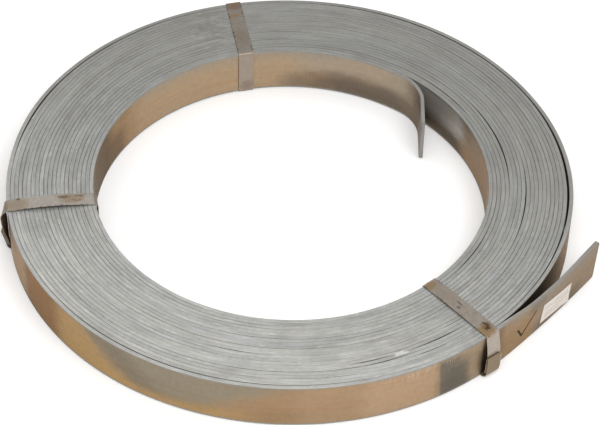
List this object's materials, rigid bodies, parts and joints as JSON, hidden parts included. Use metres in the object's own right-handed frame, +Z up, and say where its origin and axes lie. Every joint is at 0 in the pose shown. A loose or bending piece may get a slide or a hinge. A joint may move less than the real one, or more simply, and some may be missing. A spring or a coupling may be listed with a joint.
{
  "type": "coil of galvanized steel strip",
  "caption": "Flat steel strip wound edge to edge into a low ring coil with an open bore and two free ends, tied round its wall by thin steel straps with folded lock seams",
  "frame": {"origin": "on the axis of the bore, in the plane of the floor that the straps' undersides rest on", "axes": "+Z up along the bore's axis, -Y towards the viewer of the picture, +X to the viewer's right, where the free outer end is"},
  "size_m": [0.5831, 0.5641, 0.0519],
  "materials": {
    "galvanized_strip": "satin",
    "strap_steel": "matte",
    "label_paper": "matte"
  },
  "bodies": {
    "root": {"strip_coil": "galvanized_strip", "strap_rear": "strap_steel", "strap_left": "strap_steel", "strap_front": "strap_steel", "label": "label_paper"}
  },
  "joints": []
}
